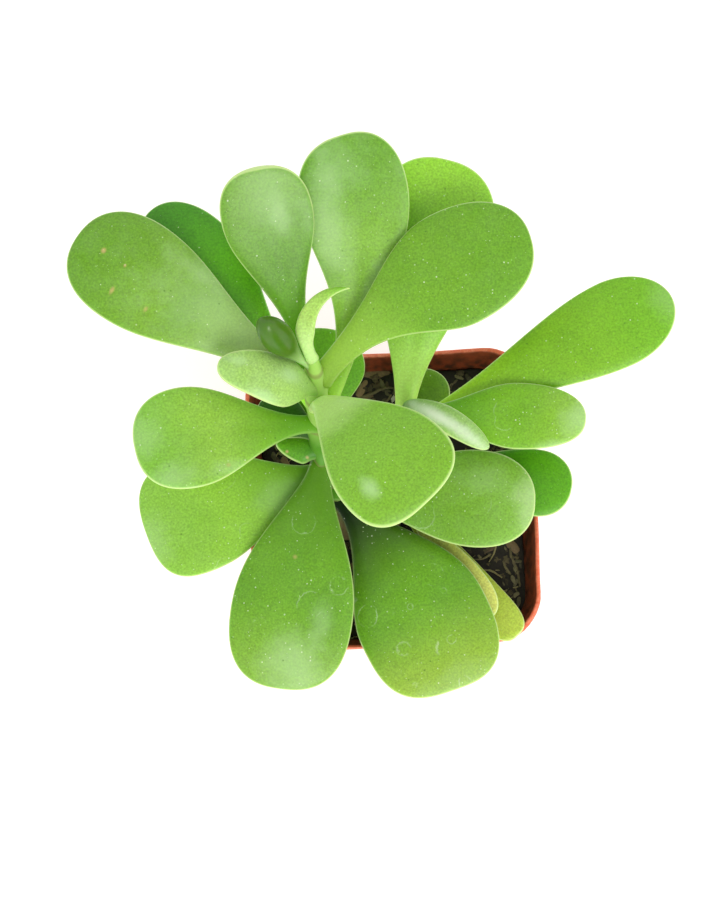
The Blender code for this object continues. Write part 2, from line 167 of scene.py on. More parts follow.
# Spots of another colour: the middle of each along the blade (0 to 1) and across it (-1 to 1, the left edge
# is 1 on the way from foot to tip), how far it reaches both ways in the same shares, and how strong it is.
# The grey-white and pale green spots are partly thick wax and partly painted highlights where a leaf faces
# the light, the deep green one on leaf_shaded is painted shade, and a healed graze is tan.
Spot = namedtuple("Spot", "along across long wide strength colour", defaults=["AECF96"])
TAN = "B5A063"
SPOTS = {
    "leaf_upper_left": [Spot(0.45, -0.1, 0.35, 0.9, 0.3), Spot(0.58, -0.62, 0.16, 0.3, 0.3),
                        Spot(0.89, 0, 0.012, 0.08, 0.9, TAN), Spot(0.79, 0.52, 0.01, 0.1, 0.8, TAN),
                        Spot(0.66, 0.47, 0.01, 0.08, 0.6, TAN), Spot(0.8, 0.02, 0.008, 0.05, 0.7, TAN)],
    "leaf_back_left": [Spot(0.9, -0.1, 0.35, 1, 0.25), Spot(0.62, -0.95, 0.45, 0.3, 0.2),
                       Spot(0.78, -0.25, 0.14, 0.3, 0.3)],
    "leaf_back": [Spot(0.68, 0.5, 0.34, 0.45, 0.35), Spot(0.72, -0.95, 0.36, 0.25, 0.1),
                  Spot(0.48, -0.5, 0.14, 0.4, 0.4), Spot(0.92, 0.2, 0.14, 0.6, 0.2)],
    "leaf_left": [Spot(0.84, 0.75, 0.18, 0.4, 0.35), Spot(0.96, -0.2, 0.14, 0.6, 0.25),
                  Spot(0.54, 0.72, 0.14, 0.25, 0.3), Spot(0.55, 0.66, 0.02, 0.06, 0.5, TAN)],
    "leaf_lower_left": [Spot(0.97, 0.2, 0.12, 0.6, 0.25), Spot(0.28, 0.2, 0.16, 0.4, 0.2)],
    "leaf_small_left": [Spot(0.74, 0.42, 0.04, 0.12, 0.9, TAN), Spot(0.3, 0.6, 0.05, 0.12, 0.7, TAN)],
    "leaf_front": [Spot(0.9, 0.15, 0.18, 0.7, 0.42), Spot(0.7, 0.5, 0.14, 0.25, 0.25),
                   Spot(0.45, -0.1, 0.012, 0.05, 0.5, TAN)],
    # painted light: the arching leaf's shoulder is painted paler where light falls on it
    "leaf_front_arching": [Spot(0.81, -0.53, 0.07, 0.2, 0.55), Spot(0.4, 0.1, 0.16, 0.9, 0.45, "BCE088")],
    "leaf_young_left": [Spot(0.62, 0.9, 0.18, 0.4, 0.6), Spot(0.45, -0.2, 0.14, 0.4, 0.5),
                        Spot(0.88, -0.3, 0.12, 0.3, 0.35)],
    "leaf_right": [Spot(0.99, -0.1, 0.16, 0.9, 0.45), Spot(0.85, -0.9, 0.15, 0.3, 0.35)],
    # a painted highlight at the tip of this leaf
    "leaf_lower_right": [Spot(1, 0, 0.12, 1, 0.4, "C8E0AC"), Spot(0.75, 0.35, 0.18, 0.4, 0.15)],
    "leaf_front_right": [Spot(1, 0.2, 0.12, 1, 0.2)],
    "leaf_small_arching": [Spot(0.55, -0.2, 0.48, 0.7, 0.9, "D2DFC6")],
    "leaf_far_right": [Spot(0.99, 0, 0.08, 0.9, 0.2)],
    # painted shade over the right side of this leaf, deep among the others
    "leaf_shaded": [Spot(0.15, -0.8, 0.36, 0.8, 0.9, "1E4A0A")],
}
YOUNG = ("leaf_young_left", "leaf_young_round", "leaf_young_pointed", "leaf_small_arching")
OLD = ("leaf_old_folded", "leaf_old_yellow")

# a blade's points round it and rings along it, the steps of its curve and of its outline, and, in
# millimetres, the drift of its faces and the span of that, the groove's width and the clasping foot's reach
LEAF_SIDES = 20
LEAF_RINGS = 26
CURVE_STEPS = 60
OUTLINE_STEPS = 700
LEAF_DRIFT = 0.45
DRIFT_SPAN = 14
GROOVE_WIDTH = 1.3
CLASP_REACH = 3.0

# a stem's points round it and the step of its rings, how far down and how thick the strip below each leaf
# is, and the length over which the top draws in
STEM_SIDES = 24
STEM_STEP = 1.2
FOOT_REACH = 9.0
FOOT_SWELL = 1.0
TOP_REACH = 6

# Loose bits that the photograph shows one by one: x, y and length in millimetres, and heading in degrees
STRAWS = [(22.5, -13.5, 8.0, 20), (24.5, -17.5, 6.0, 165), (29.0, -16.0, 12.0, 100), (27.5, -18.0, 11.0, 108),
          (26.0, -22.5, 6.0, 35), (-10.8, -32.0, 7.0, 10)]
SPLINTERS = [(-2.2, 32.2, 6.5, 5), (-19.1, 9.5, 5.0, 80), (-12.0, 0.4, 6.0, 110), (-9.0, -9.5, 8.0, 105),
             (28.0, -11.5, 5.5, 130)]
PERLITE = [(1.1, 25.8, 4.2, 60)]


def linear(hex_colour):
    """A shader takes linear light, and the colours here are written as a picture shows them."""
    parts = [int(hex_colour[i:i + 2], 16) / 255 for i in (0, 2, 4)]
    return (*[p / 12.92 if p <= 0.04045 else ((p + 0.055) / 1.055) ** 2.4 for p in parts], 1.0)


def plug(node, inputs):
    """Sets inputs of a node to values or to the outputs of other nodes. A MapRange has its value at 0, the
    range that goes in at 1 and 2 and the one that comes out at 3 and 4. A Mix of colours has its share at 0
    and the colours at 6 and 7."""
    for key, value in inputs.items():
        if isinstance(value, bpy.types.NodeSocket):
            node.id_data.links.new(value, node.inputs[key])
        else:
            node.inputs[key].default_value = value


def add_node(tree, kind, inputs=None, **settings):
    """Adds a node with its settings and its inputs, and gives back its outputs."""
    made = tree.nodes.new("ShaderNode" + kind)
    for name, value in settings.items():
        setattr(made, name, value)
    plug(made, inputs or {})
    return made.outputs


def new_material(name):
    """An empty material, the function that adds its nodes, its surface shader and the place on the object."""
    material = bpy.data.materials.new(name)
    material.use_nodes = True
    tree = material.node_tree
    tree.nodes.clear()
    node = partial(add_node, tree)
    surface = tree.nodes.new("ShaderNodeBsdfPrincipled")
    node("OutputMaterial", {"Surface": surface.outputs["BSDF"]})
    return material, node, surface, node("TexCoord")["Object"]


def per_mm(size):
    """The scale of a pattern whose features are that many millimetres across."""
    return 1 / (size * MM)


# the skins of the living parts

def leaf_flesh(name, skin, spots, seed):
    """Living succulent leaf: water-filled flesh that lets a little light in, under a smooth satin skin whose
    thin coat of wax greys the green where it lies thick. The blade attribute holds the share of the length,
    the distance to the edge in millimetres, and the place across."""
    material, node, surface, place = new_material(name)
    # each leaf takes its own part of the patterns
    shift = (0.01 * seed, 0.017 * seed, 0.0)
    shifted = node("Mapping", {"Vector": place, "Location": shift})[0]
    blade = node("Attribute", attribute_name="blade")["Vector"]
    along, edge = node("SeparateXYZ", {0: blade})[:2]

    # soft lighter and darker fields in the flesh, about 12 mm wide, and a fine grain of cells
    fields = node("TexNoise", {"Vector": shifted, "Scale": per_mm(12), "Detail": 1.0})[0]
    grain = node("TexNoise", {"Vector": shifted, "Scale": per_mm(0.45), "Detail": 3.0})[0]
    field_share = node("MapRange", {0: fields, 1: 0.3, 2: 0.7})[0]
    grain_share = node("MapRange", {0: grain, 1: 0.30, 2: 0.70, 3: 0.78, 4: 1.22})[0]
    red, green, blue, _ = linear(skin.green)
    deep = (red * 0.90, green * 0.93, blue * 0.85, 1.0)
    light = (red * 1.10, green * 1.06, blue * 1.15, 1.0)
    flesh = node("Mix", {0: field_share, 6: deep, 7: light}, data_type="RGBA")[2]

    # the foot and the tip get greens of their own, which are mostly painted light and shade: pale where light
    # comes through or falls on them, deep in the plant's shade
    foot = node("MapRange", {0: along, 1: 0.10, 2: 0.55, 3: 1.0, 4: 0.0}, interpolation_type="SMOOTHSTEP")[0]
    tip = node("MapRange", {0: along, 1: 0.60, 2: 0.95}, interpolation_type="SMOOTHSTEP")[0]
    for share, colour in ((foot, skin.foot), (tip, skin.tip)):
        flesh = node("Mix", {0: share, 6: flesh, 7: linear(colour)}, data_type="RGBA")[2]
    # the grain is weaker at the foot
    calm = node("Math", {0: foot, 1: 0.65}, operation="MULTIPLY")[0]
    grain_share = node("Mix", {0: calm, 2: grain_share, 3: 1.0})[0]
    flesh = node("VectorMath", {0: flesh, 3: grain_share}, operation="SCALE")[0]

    # wax bloom lies in clouds, thickest towards the tip
    clouds = node("TexNoise", {"Vector": shifted, "Scale": per_mm(5), "Detail": 5.0, "Roughness": 0.65})[0]
    cloud_share = node("MapRange", {0: clouds, 1: 0.34, 2: 0.76, 4: 0.35 * skin.bloom})[0]
    tipward = node("MapRange", {0: along, 1: 0.15, 2: 0.85, 3: 0.45})[0]
    bloom = node("Math", {0: cloud_share, 1: tipward}, operation="MULTIPLY")[0]
    layers = [(bloom, "A9C79A")]
    # each spot lays its colour over the flesh: wax, grazes, painted highlights and painted shade
    for spot in spots:
        # the clouds also fray the spot's outline
        offset = node("VectorMath", {0: blade, 1: (spot.along, 0, spot.across)}, operation="SUBTRACT")[0]
        offset = node("VectorMath", {0: offset, 1: (1 / spot.long, 0, 1 / spot.wide)},
                      operation="MULTIPLY")[0]
        away = node("VectorMath", {0: offset}, operation="LENGTH")[1]
        away = node("Math", {0: clouds, 1: -0.8, 2: away}, operation="MULTIPLY_ADD")[0]
        share = node("MapRange", {0: away, 1: -0.3, 2: 0.7, 3: spot.strength, 4: 0.0},
                     interpolation_type="SMOOTHSTEP")[0]
        layers.append((share, spot.colour))

    # dust: pale grains up to about 0.4 mm wide, drawn that coarse to show at all
    grains = node("TexVoronoi", {"Vector": shifted, "Scale": per_mm(0.9)})
    chance = node("SeparateColor", {0: grains["Color"]})
    reach = node("MapRange", {0: chance[0], 1: 1 - 0.42 * skin.dust, 3: 0.06, 4: 0.21})[0]
    dust = node("Math", {0: grains["Distance"], 1: reach}, operation="LESS_THAN")[0]
    paleness = node("MapRange", {0: chance[1], 3: 0.15, 4: 0.65})[0]
    dust = node("Math", {0: dust, 1: paleness}, operation="MULTIPLY")[0]
    layers.append((dust, "DCE8C8"))

    # a few dark pores
    pores = node("TexVoronoi", {"Vector": shifted, "Scale": per_mm(4.0)})["Distance"]
    pore = node("MapRange", {0: pores, 1: 0.03, 2: 0.07, 3: 0.6, 4: 0.0})[0]
    layers.append((pore, "3E6A1E"))

    if skin.marks:
        # rings of all sizes that drops of hard water left when they dried, broken where the wax is thin
        drops = node("TexVoronoi", {"Vector": shifted, "Scale": per_mm(8.0)})
        chance = node("SeparateColor", {0: drops["Color"]})
        reach = node("MapRange", {0: chance[0], 3: 0.08, 4: 0.42})[0]
        bent = node("Math", {0: clouds, 1: 0.35, 2: drops["Distance"]}, operation="MULTIPLY_ADD")[0]
        bent = node("Math", {0: bent, 1: 0.175}, operation="SUBTRACT")[0]
        ring = node("Math", {0: bent, 1: reach}, operation="SUBTRACT")[0]
        ring = node("Math", {0: ring}, operation="ABSOLUTE")[0]
        ring = node("MapRange", {0: ring, 2: 0.025, 3: 0.8 * skin.marks, 4: 0.0})[0]
        broken = node("MapRange", {0: clouds, 1: 0.46, 2: 0.62})[0]
        ring = node("Math", {0: ring, 1: broken}, operation="MULTIPLY")[0]
        layers.append((ring, "D8E4C8"))

    # the thin pale edge, where the skin of both faces meets, partly painted light: the bright rim an edge
    # shows against the white floor; it is painted weaker towards the foot, as shade
    margin = node("MapRange", {0: edge, 1: 0.1 * skin.rim, 2: skin.rim, 3: 0.8, 4: 0.0},
                  interpolation_type="SMOOTHSTEP")[0]
    fading = node("MapRange", {0: along, 1: 0.20, 2: 0.60, 3: 0.25})[0]
    margin = node("Math", {0: margin, 1: fading}, operation="MULTIPLY")[0]
    layers.append((margin, "C6DD92"))
    for share, colour in layers:
        flesh = node("Mix", {0: share, 6: flesh, 7: linear(colour)}, data_type="RGBA")[2]

    rough = node("MapRange", {0: bloom, 2: 0.5, 3: 0.40, 4: 0.55})[0]
    dents = node("TexNoise", {"Vector": shifted, "Scale": per_mm(6), "Detail": 3.0})[0]
    swell = node("Bump", {"Height": dents, "Strength": 0.5, "Distance": 0.25 * MM})[0]
    fine = node("Bump", {"Height": grain, "Strength": 0.4, "Distance": 0.05 * MM, "Normal": swell})[0]
    plug(surface, {"Base Color": flesh, "Roughness": rough, "IOR": 1.45, "Specular IOR Level": 0.33,
                   "Subsurface Weight": 0.25, "Subsurface Radius": (0.4, 1.0, 0.15),
                   "Subsurface Scale": 0.0025, "Normal": fine})
    return material


def bulb_flesh(name, skin):
    """A round young leaf, all water: smooth, satin, and clear enough to look dark."""
    material, node, surface, place = new_material(name)
    blade = node("Attribute", attribute_name="blade")["Vector"]
    along = node("SeparateXYZ", {0: blade})[0]
    clouds = node("TexNoise", {"Vector": place, "Scale": per_mm(3)})[0]
    foot = node("MapRange", {0: along, 1: 0.25, 2: 0.50, 3: 0.9, 4: 0.0})[0]
    flesh = linear(skin.green)
    for share, colour in ((clouds, "486A14"), (foot, "A3C77C")):
        flesh = node("Mix", {0: share, 6: flesh, 7: linear(colour)}, data_type="RGBA")[2]
    plug(surface, {"Base Color": flesh, "Roughness": 0.28, "IOR": 1.42, "Subsurface Weight": 0.35,
                   "Subsurface Radius": (0.4, 1.0, 0.15), "Subsurface Scale": 0.003})
    return material


def stem_skin():
    """Succulent stem: smooth pale green skin at the top, painted deeper green below as the shade among the
    leaves, and corky brown towards the soil, with the scars of fallen leaves as thin brown lips."""
    material, node, surface, place = new_material("green stem, corky below")
    height = node("SeparateXYZ", {0: place})[2]
    fields = node("TexNoise", {"Vector": place, "Scale": per_mm(4), "Detail": 4.0})[0]
    streaks = node("Mapping", {"Vector": place, "Scale": (1.0, 1.0, 0.25)})[0]
    fibre = node("TexNoise", {"Vector": streaks, "Scale": per_mm(1.2), "Detail": 4.0})[0]
    skin = node("Mix", {0: fields, 6: linear("8CBE48"), 7: linear("B4DA6C")}, data_type="RGBA")[2]
    cork = node("Mix", {0: fibre, 6: linear("5E5030"), 7: linear("A59468")}, data_type="RGBA")[2]
    # painted shade: deeper green below 84 to 92 mm, where the leaves shade the stem
    lower = node("MapRange", {0: height, 1: 84 * MM, 2: 92 * MM, 3: 1.0, 4: 0.0})[0]
    wander = node("Math", {0: fields, 1: 16 * MM, 2: height}, operation="MULTIPLY_ADD")[0]
    corky = node("MapRange", {0: wander, 1: 70 * MM, 2: 84 * MM, 3: 1.0, 4: 0.0})[0]
    scars = node("TexWave", {"Vector": place, "Scale": per_mm(22), "Distortion": 3.0}, bands_direction="Z")[1]
    scar = node("MapRange", {0: scars, 1: 0.93, 4: 0.5})[0]
    for share, over in ((lower, linear("4E8A14")), (corky, cork), (scar, linear("7A6840"))):
        skin = node("Mix", {0: share, 6: skin, 7: over}, data_type="RGBA")[2]
    ridges = node("Bump", {"Height": fibre, "Strength": 0.6, "Distance": 0.15 * MM})[0]
    plug(surface, {"Base Color": skin, "Roughness": 0.55, "Subsurface Weight": 0.15,
                   "Subsurface Radius": (0.5, 1.0, 0.2), "Subsurface Scale": 0.002, "Normal": ridges})
    return material


# the pot and what fills it

def polypropylene():
    """Thin polypropylene, injection moulded in terracotta orange: satin, a little see-through at its edge,
    with scuffs that whiten it, an inner wall painted darker as shade, and dark blotches inside, heavier
    towards the soil, that are partly dried potting mix and partly painted shade."""
    material, node, surface, place = new_material("moulded polypropylene")
    height = node("SeparateXYZ", {0: place})[2]
    fields = node("TexNoise", {"Vector": place, "Scale": per_mm(14), "Detail": 3.0})[0]
    plastic = node("Mix", {0: fields, 6: linear("CC4E28"), 7: linear("DD6038")}, data_type="RGBA")[2]
    scuffs = node("TexNoise", {"Vector": place, "Scale": per_mm(1.6), "Detail": 6.0, "Roughness": 0.7})[0]
    scuff = node("MapRange", {0: scuffs, 1: 0.60, 2: 0.80, 4: 0.35})[0]
    # the inner wall is painted darker as shade, and carries dark blotches, heavier towards the soil, that are
    # partly dried potting mix and partly painted shade: the inside attribute is 1 there
    inside = node("Attribute", attribute_name="inside")["Fac"]
    inner_wall_shade = node("Math", {0: inside, 1: 0.8}, operation="MULTIPLY")[0]
    splash = node("TexNoise", {"Vector": place, "Scale": per_mm(2.2), "Detail": 6.0})[0]
    low = node("MapRange", {0: height, 1: (SOIL_TOP + 0.5) * MM, 2: (POT_HEIGHT - 0.5) * MM, 3: 0.95,
                            4: 0.55})[0]
    dirt_and_shade = node("MapRange", {0: splash, 1: 0.38, 2: 0.60, 3: 0.35})[0]
    dirt_and_shade = node("Math", {0: dirt_and_shade, 1: low}, operation="MULTIPLY")[0]
    dirt_and_shade = node("Math", {0: dirt_and_shade, 1: inside}, operation="MULTIPLY")[0]
    # the lip is worn pale
    lip = node("MapRange", {0: height, 1: (POT_HEIGHT - 1) * MM, 2: (POT_HEIGHT - 0.2) * MM})[0]
    worn = node("MapRange", {0: scuffs, 1: 0.42, 2: 0.62, 3: 0.15, 4: 0.75})[0]
    worn = node("Math", {0: lip, 1: worn}, operation="MULTIPLY")[0]
    # the inner wall's darkening is painted shade, and its blotches are partly dried potting mix, partly
    # painted shade
    for share, colour in ((scuff, "E59A74"), (inner_wall_shade, "8A4526"), (dirt_and_shade, "342010"), (worn, "EE9070")):
        plastic = node("Mix", {0: share, 6: plastic, 7: linear(colour)}, data_type="RGBA")[2]
    rough = node("MapRange", {0: scuffs, 1: 0.3, 2: 0.8, 3: 0.36, 4: 0.55})[0]
    mould = node("Bump", {"Height": scuffs, "Strength": 0.35, "Distance": 0.06 * MM})[0]
    plug(surface, {"Base Color": plastic, "Roughness": rough, "IOR": 1.49, "Subsurface Weight": 0.12,
                   "Subsurface Radius": (1.0, 0.35, 0.15), "Subsurface Scale": 0.002, "Normal": mould})
    return material


def loose_matter(name, dark, pale, grain, rough):
    """Dry plant matter and grit: dull, with the colour of each bit shifted by its own shade attribute."""
    material, node, surface, place = new_material(name)
    shade = node("Attribute", attribute_name="shade")["Fac"]
    grains = node("TexNoise", {"Vector": place, "Scale": per_mm(grain), "Detail": 5.0, "Roughness": 0.7})[0]
    share = node("Math", {0: grains, 1: 0.9, 2: shade}, operation="MULTIPLY_ADD")[0]
    share = node("MapRange", {0: share, 1: 0.3, 2: 1.6})[0]
    tone = node("Mix", {0: share, 6: linear(dark), 7: linear(pale)}, data_type="RGBA")[2]
    rise = node("Bump", {"Height": grains, "Strength": 0.8, "Distance": 0.2 * MM})[0]
    plug(surface, {"Base Color": tone, "Roughness": rough, "Normal": rise})
    return material


# modelling helpers

def primitive(name, add, **settings):
    """A mesh primitive, added at its size, as an object of its own."""
    bpy.ops.object.select_all(action="DESELECT")
    add(**settings)
    piece = bpy.context.active_object
    piece.name = piece.data.name = name
    return piece


def close_edit():
    """Ends the editing of a mesh, with its faces turned outwards."""
    bpy.ops.mesh.select_all(action="SELECT")
    bpy.ops.mesh.normals_make_consistent(inside=False)
    bpy.ops.object.mode_set(mode="OBJECT")


def extruded(name, sides, sections, pointed=False):
    """A body drawn out along X from a disc. Each section is (x, half width, half height) in millimetres."""
    piece = primitive(name, bpy.ops.mesh.primitive_circle_add, vertices=sides, radius=MM, fill_type="NGON",
                      rotation=(math.pi / 2, 0, math.pi / 2))
    bpy.ops.object.transform_apply()
    bpy.ops.object.mode_set(mode="EDIT")
    x, wide, high = sections[0]
    bpy.ops.transform.resize(value=(1, wide, high), center_override=(0, 0, 0))
    bpy.ops.transform.translate(value=(x * MM, 0, 0))
    for next_x, next_wide, next_high in sections[1:]:
        bpy.ops.mesh.extrude_region_move(TRANSFORM_OT_translate={"value": ((next_x - x) * MM, 0, 0)})
        bpy.ops.transform.resize(value=(1, next_wide / wide, next_high / high),
                                 center_override=(next_x * MM, 0, 0))
        x, wide, high = next_x, next_wide, next_high
    if pointed:
        bpy.ops.mesh.merge(type="CENTER")
    close_edit()
    return piece


def subdivided(piece):
    """Rounds a piece with one level of subdivision."""
    modifier = piece.modifiers.new("rounding", "SUBSURF")
    modifier.levels = modifier.render_levels = 1
    bpy.context.view_layer.objects.active = piece
    bpy.ops.object.modifier_apply(modifier=modifier.name)


def points_of(piece):
    """The piece's points as rows of x, y, z in millimetres."""
    flat = np.empty(len(piece.data.vertices) * 3)
    piece.data.vertices.foreach_get("co", flat)
    return flat.reshape(-1, 3) / MM


def set_points(piece, points):
    piece.data.vertices.foreach_set("co", (points * MM).ravel())
    piece.data.update()


def store_values(piece, name, values):
    """Keeps a value for each point, which the piece's material reads."""
    attribute = piece.data.attributes.new(name, "FLOAT", "POINT")
    attribute.data.foreach_set("value", values)


def noise_over(x, y, span, level):
    """Smooth noise over places in a plane, with humps about as wide as span."""
    return np.array([noise.noise(Vector((a / span, b / span, level))) for a, b in zip(x, y)])


def read_off(places, marks, rows):
    """What the rows, one for each mark, come to at places between the marks."""
    return np.stack([np.interp(places, marks, column) for column in rows.T], 1)


def finish_piece(piece, material, slot, *nodes, sharp=None):
    """Gives a piece its material, smooth faces and body, and hides the solids it stands for; slot is not
    used.
    """
    piece.data.materials.clear()
    piece.data.materials.append(material)
    bpy.ops.object.select_all(action="DESELECT")
    piece.select_set(True)
    bpy.context.view_layer.objects.active = piece
    if sharp:
        bpy.ops.object.shade_smooth_by_angle(angle=math.radians(sharp))
    else:
        bpy.ops.object.shade_smooth()
    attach(piece, "root")
    if nodes:
        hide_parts(*nodes)


# the stems' lines

def smooth_line(points, steps=6):
    """A smooth curve that passes through each of the points."""
    ends = [2 * Vector(points[0]) - Vector(points[1]), 2 * Vector(points[-1]) - Vector(points[-2])]
    p = [ends[0]] + [Vector(q) for q in points] + [ends[1]]
    line = []
    for i in range(1, len(p) - 2):
        for k in range(steps):
            t = k / steps
            line.append(0.5 * (2 * p[i] + (p[i + 1] - p[i - 1]) * t
                               + (2 * p[i - 1] - 5 * p[i] + 4 * p[i + 1] - p[i + 2]) * t * t
                               + (3 * p[i] - p[i - 1] - 3 * p[i + 1] + p[i + 2]) * t ** 3))
    line.append(p[-2])
    return line


def point_at_height(line, height):
    """The point of a rising line at a height, or its last point."""
    for a, b in zip(line, line[1:]):
        if a.z <= height <= b.z:
            return a.lerp(b, (height - a.z) / (b.z - a.z))
    return line[-1]


# leaves

def half_width(leaf, t):
    """Half the blade's width at the share t of its length, in millimetres."""
    if t < leaf.widest:
        wave = 0.5 - 0.5 * math.cos(math.pi * (t / leaf.widest) ** leaf.flare)
        share = leaf.petiole + (1 - leaf.petiole) * wave
    else:
        share = max(0.0, 1 - ((t - leaf.widest) / (1 - leaf.widest)) ** leaf.blunt) ** (1 / leaf.blunt)
    return leaf.width / 2 * share


def half_thickness(leaf, t):
    body = 0.75 + 0.25 * min(t / leaf.widest, 1)
    if t > leaf.widest:
        body *= math.sqrt(half_width(leaf, t) / (leaf.width / 2))
        return leaf.thick / 2 * body
    return min(leaf.thick / 2 * body, 0.9 * half_width(leaf, t))


def leaf_stations(leaf):
    """Shares of the length for the sections, closer together round the tip."""
    low = LEAF_RINGS // 2
    high = LEAF_RINGS - low
    stations = [leaf.widest * k / low for k in range(low)]
    stations += [leaf.widest + (1 - leaf.widest) * math.sin(math.pi / 2 * k / high) for k in range(high)]
    return stations + [1 - 0.0015]


def leaf_frame(leaf, t):
    """Direction along, across and out of the blade at shares t of its length."""
    turn = np.radians(leaf.sweep * t)
    slope = np.radians(leaf.rise[0] + (leaf.rise[1] - leaf.rise[0]) * t)
    along = np.stack([np.cos(slope) * np.cos(turn), np.cos(slope) * np.sin(turn), np.sin(slope)], 1)
    side = np.stack([-np.sin(turn), np.cos(turn), np.zeros_like(turn)], 1)
    return along, side, np.cross(along, side)


def edge_distance(leaf, points):
    """How far each point of the flat blade lies inside its outline, in millimetres."""
    t = np.sin(np.linspace(0, math.pi / 2, OUTLINE_STEPS))
    outline = np.array([(k * leaf.length, half_width(leaf, k)) for k in t])
    place = np.stack([points[:, 0], np.abs(points[:, 1])], 1)
    return np.sqrt(((place[:, None] - outline[None]) ** 2).sum(2).min(1))


def grow_leaf(leaf, seed):
    """Extrudes a straight, flat blade ring by ring, rounds it, and lays it along the leaf's own curve."""
    skin = SKINS[leaf.name]
    # rounding draws each ring in to this share of its size
    drawn_in = (2 + math.cos(2 * math.pi / LEAF_SIDES)) / 3
    sections = [(t * leaf.length, max(half_width(leaf, t), 0.1) / drawn_in,
                 max(half_thickness(leaf, t), 0.08) / drawn_in) for t in leaf_stations(leaf)]
    blade = extruded(leaf.name + "_blade", LEAF_SIDES, sections, pointed=True)
    subdivided(blade)

    flat = points_of(blade)
    # rounding also draws the tip back
    reach = flat[:, 0].max()
    flat[:, 0] *= 1 + (leaf.length / reach - 1) * (flat[:, 0] / reach) ** 6
    x, y, z = flat.T
    t = np.clip(x / leaf.length, 0, 1)
    edge = edge_distance(leaf, flat)
    across = 2 * y / leaf.width
    cupped = leaf.cup * leaf.width / 2 * across ** 2
    drift = LEAF_DRIFT * noise_over(x, y, DRIFT_SPAN, seed * 3.1) * (1 - 0.5 * (t < 0.15))
    ripple = np.sin(t * 9 + seed) * across ** 2 * skin.wave
    middle = np.exp(-(y / GROOVE_WIDTH) ** 2)
    groove = -skin.groove * middle * np.sin(math.pi * np.clip(t * 1.05, 0, 1)) * (z > 0)
    # the foot grows a little to clasp the stem
    clasp = np.exp(-(x / CLASP_REACH) ** 2)
    y = y * (1 + 0.25 * clasp)
    z = z * (1 + 0.35 * clasp)
    z = z + cupped + drift + ripple + groove

    middles = (np.arange(CURVE_STEPS) + 0.5) / CURVE_STEPS
    line = np.vstack([np.zeros(3), np.cumsum(leaf_frame(leaf, middles)[0] * leaf.length / CURVE_STEPS, 0)])
    centre = read_off(t, np.linspace(0, 1, CURVE_STEPS + 1), line)
    _, side, up = leaf_frame(leaf, t)
    laid = centre + side * y[:, None] + up * z[:, None]

    foot = point_at_height(smooth_line(STEM_LINES[leaf.stem]), leaf.height)
    turn = math.radians(leaf.heading)
    turned = np.stack([laid[:, 0] * math.cos(turn) - laid[:, 1] * math.sin(turn),
                       laid[:, 0] * math.sin(turn) + laid[:, 1] * math.cos(turn), laid[:, 2]], 1)
    set_points(blade, turned + np.array(foot))

    store = blade.data.attributes.new("blade", "FLOAT_VECTOR", "POINT")
    store.data.foreach_set("vector", np.stack([t, edge, across], 1).ravel())
    slot = "leaf_young" if leaf.name in YOUNG else "leaf_old" if leaf.name in OLD else "leaf"
    if leaf.name == "leaf_young_round":
        flesh = bulb_flesh("clear flesh of " + leaf.name, skin)
    else:
        flesh = leaf_flesh("waxy flesh of " + leaf.name, skin, SPOTS.get(leaf.name, ()), seed)
    finish_piece(blade, flesh, slot, leaf.name)


# stems

def grow_stem(name, material):
    """A round stem along its line, with a raised strip below each leaf, where the leaf has grown on."""
    line = smooth_line(STEM_LINES[name], 12)
    lengths = np.cumsum([0] + [(b - a).length for a, b in zip(line, line[1:])])
    total = lengths[-1]
    low, high = STEM_RADII[name]
    count = int(total / STEM_STEP)
    sections = []
    for k in range(count + 1):
        place = total * k / count
        near_top = max(0.0, 1 - (total - place) / TOP_REACH)
        radius = (low + (high - low) * k / count) * (1 - 0.45 * near_top ** 2)
        sections.append((place, radius, radius))
    sections += [(total + 0.4, high * 0.4, high * 0.4), (total + 0.6, high * 0.2, high * 0.2)]
    stem = extruded(name + "_grown", STEM_SIDES, sections, pointed=True)
    subdivided(stem)

    points = np.array(line)
    flat = points_of(stem)
    x = np.clip(flat[:, 0], 0, total)
    centre = read_off(x, lengths, points)
    along = read_off(x, lengths, np.gradient(points, axis=0))
    along /= np.linalg.norm(along, axis=1)[:, None]
    side = np.cross(np.array([0, 1, 0.2]), along)
    side /= np.linalg.norm(side, axis=1)[:, None]
    out = side * flat[:, 1:2] + np.cross(along, side) * flat[:, 2:3]
    radius = np.linalg.norm(out, axis=1)
    facing = np.arctan2(out[:, 1], out[:, 0])
    swell = np.zeros(len(flat))
    for leaf in LEAVES:
        if leaf.stem != name:
            continue
        below = leaf.height - centre[:, 2]
        turn = (facing - math.radians(leaf.heading) + math.pi) % (2 * math.pi) - math.pi
        strip = np.clip(1 - below / FOOT_REACH, 0, 1) * np.clip((below + 2.5) / 2, 0, 1)
        width = 0.45 + 0.25 * np.clip(1 - below / FOOT_REACH, 0, 1)
        swell = np.maximum(swell, FOOT_SWELL * strip * np.exp(-(turn / width) ** 2))
    knobs = np.array([noise.noise(Vector(c) * 0.35) for c in centre + out])
    grown = centre + out * (1 + (swell + 0.25 * knobs) / np.maximum(radius, 1.0))[:, None]
    grown += along * (flat[:, 0] - x)[:, None]
    set_points(stem, grown)
    finish_piece(stem, material, "stem", name)


# the pot

def tapered(z):
    """Half width and half depth of the outer wall at a height."""
    t = z / POT_HEIGHT
    return [(b + (a - 2 * RIM_BAND_STEP - b) * t) / 2 for a, b in zip(POT_TOP, POT_BASE)]


